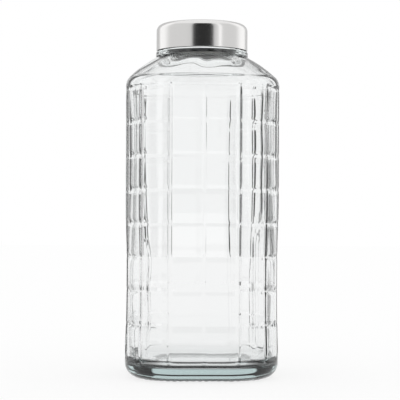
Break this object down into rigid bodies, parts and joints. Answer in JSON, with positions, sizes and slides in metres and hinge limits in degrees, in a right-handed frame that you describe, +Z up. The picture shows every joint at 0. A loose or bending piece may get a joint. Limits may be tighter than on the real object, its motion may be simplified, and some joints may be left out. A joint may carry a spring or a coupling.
{
  "type": "glass bottle with screw lid",
  "caption": "Empty rounded-square clear glass bottle with a windowpane grid of shallow grooves, a wide short neck and a flat steel screw lid.",
  "frame": {"origin": "middle of the base, on the surface that the bottle stands on", "axes": "+Z up through the neck, a flat face towards -Y, the other flat faces towards +X, +Y and -X"},
  "size_m": [0.11, 0.11, 0.2555],
  "materials": {
    "clear_glass": "clear soda-lime glass, moulded, glossy",
    "brushed_steel": "brushed stainless steel sheet",
    "insert_plastic": "moulded polypropylene",
    "seal_foam": "soft closed foam disc"
  },
  "bodies": {
    "root": {"bottle": "clear_glass", "lid_shell": "brushed_steel", "lid_insert": "insert_plastic", "lid_seal": "seal_foam"}
  },
  "joints": []
}
